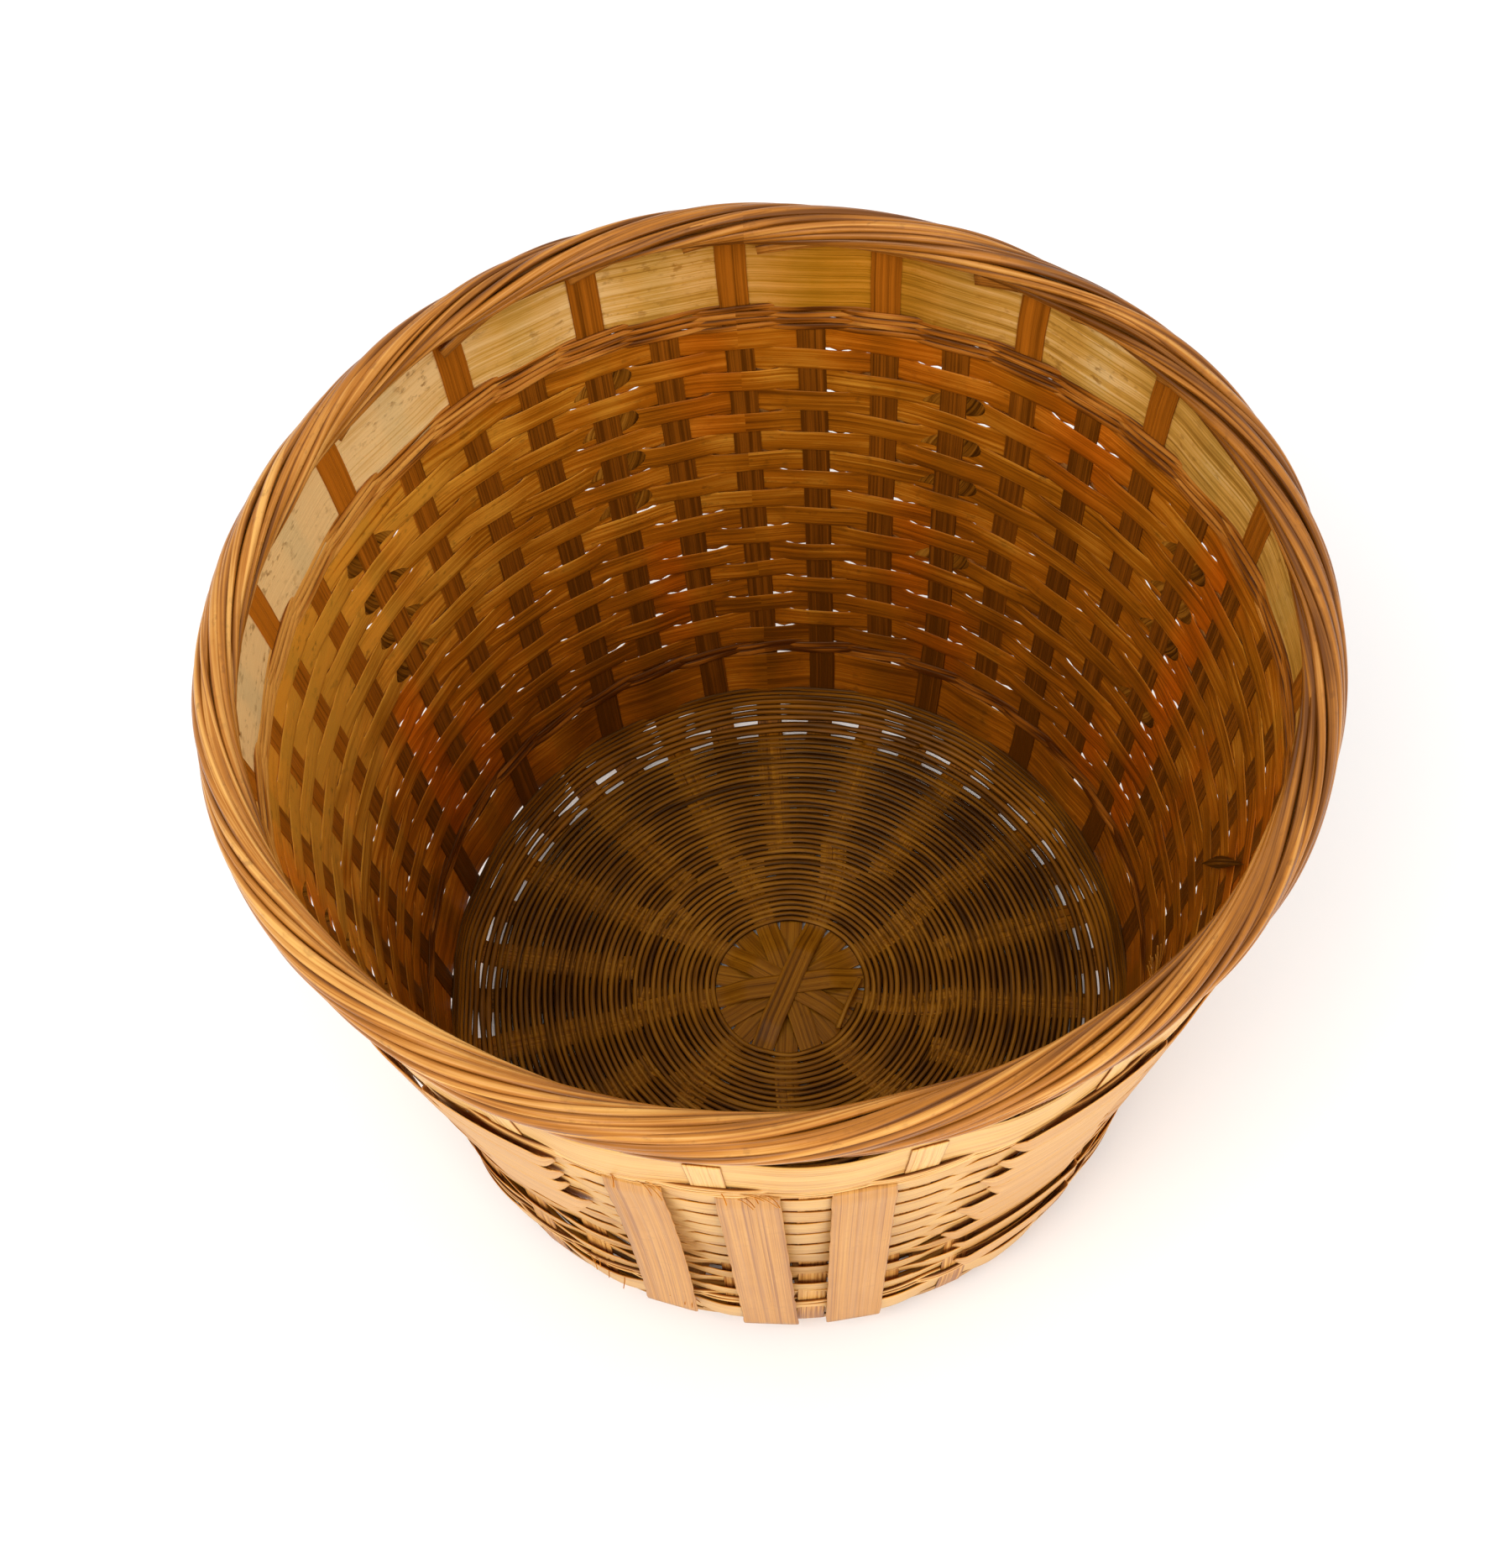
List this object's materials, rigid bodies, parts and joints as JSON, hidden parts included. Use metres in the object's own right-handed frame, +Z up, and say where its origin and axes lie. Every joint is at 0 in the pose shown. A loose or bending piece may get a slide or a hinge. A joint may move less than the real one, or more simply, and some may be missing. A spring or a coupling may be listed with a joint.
{
  "type": "woven splint basket",
  "caption": "Round open woven splint basket with flaring walls, a wide band near the top and a rolled reed rim.",
  "frame": {"origin": "centre of the underside, on the surface that the basket stands on", "axes": "+Z up through the open mouth, -Y towards the front with the three upright strips, +X to the right seen from the front"},
  "size_m": [0.3012, 0.3012, 0.2135],
  "materials": {
    "floor_splint": "satin, varnished",
    "stake": "satin, varnished, brown with upright grain",
    "floor_reed": "satin, varnished",
    "pale_band": "glossy varnish over pale bamboo skin with brown specks",
    "twined_reed": "satin, varnished",
    "weaver": "satin, varnished, honey coloured",
    "rim_reed": "glossy varnish",
    "outside_splint": "satin, varnished"
  },
  "bodies": {
    "root": {"floor_splint_1": "floor_splint", "floor_splint_2": "floor_splint", "floor_splint_3": "floor_splint", "floor_splint_4": "floor_splint", "floor_splint_5": "floor_splint", "floor_splint_6": "floor_splint", "floor_splint_7": "floor_splint", "floor_splint_8": "floor_splint", "floor_splint_9": "floor_splint", "side_stake_01": "stake", "side_stake_02": "stake", "side_stake_03": "stake", "side_stake_04": "stake", "side_stake_05": "stake", "side_stake_06": "stake", "side_stake_07": "stake", "side_stake_08": "stake", "side_stake_09": "stake", "side_stake_10": "stake", "side_stake_11": "stake", "side_stake_12": "stake", "side_stake_13": "stake", "side_stake_14": "stake", "side_stake_15": "stake", "side_stake_16": "stake", "side_stake_17": "stake", "side_stake_18": "stake", "inner_floor_weave": "floor_reed", "outer_floor_weave": "floor_reed", "bottom_band": "weaver", "top_band": "pale_band", "lower_twining": "twined_reed", "upper_twining": "twined_reed", "weaver_01": "weaver", "weaver_02": "weaver", "weaver_03": "weaver", "weaver_04": "weaver", "weaver_05": "weaver", "weaver_06": "weaver", "weaver_07": "weaver", "weaver_08": "weaver", "weaver_09": "weaver", "weaver_10": "weaver", "weaver_11": "weaver", "weaver_12": "weaver", "weaver_13": "weaver", "weaver_14": "weaver", "weaver_15": "weaver", "weaver_16": "weaver", "weaver_17": "weaver", "overlay_splint_1": "outside_splint", "overlay_splint_2": "outside_splint", "overlay_splint_3": "outside_splint", "overlay_splint_4": "outside_splint", "front_strip_1": "outside_splint", "front_strip_2": "outside_splint", "front_strip_3": "outside_splint", "rim_bundle_1": "rim_reed", "rim_bundle_2": "rim_reed", "rim_bundle_3": "rim_reed"}
  },
  "joints": []
}
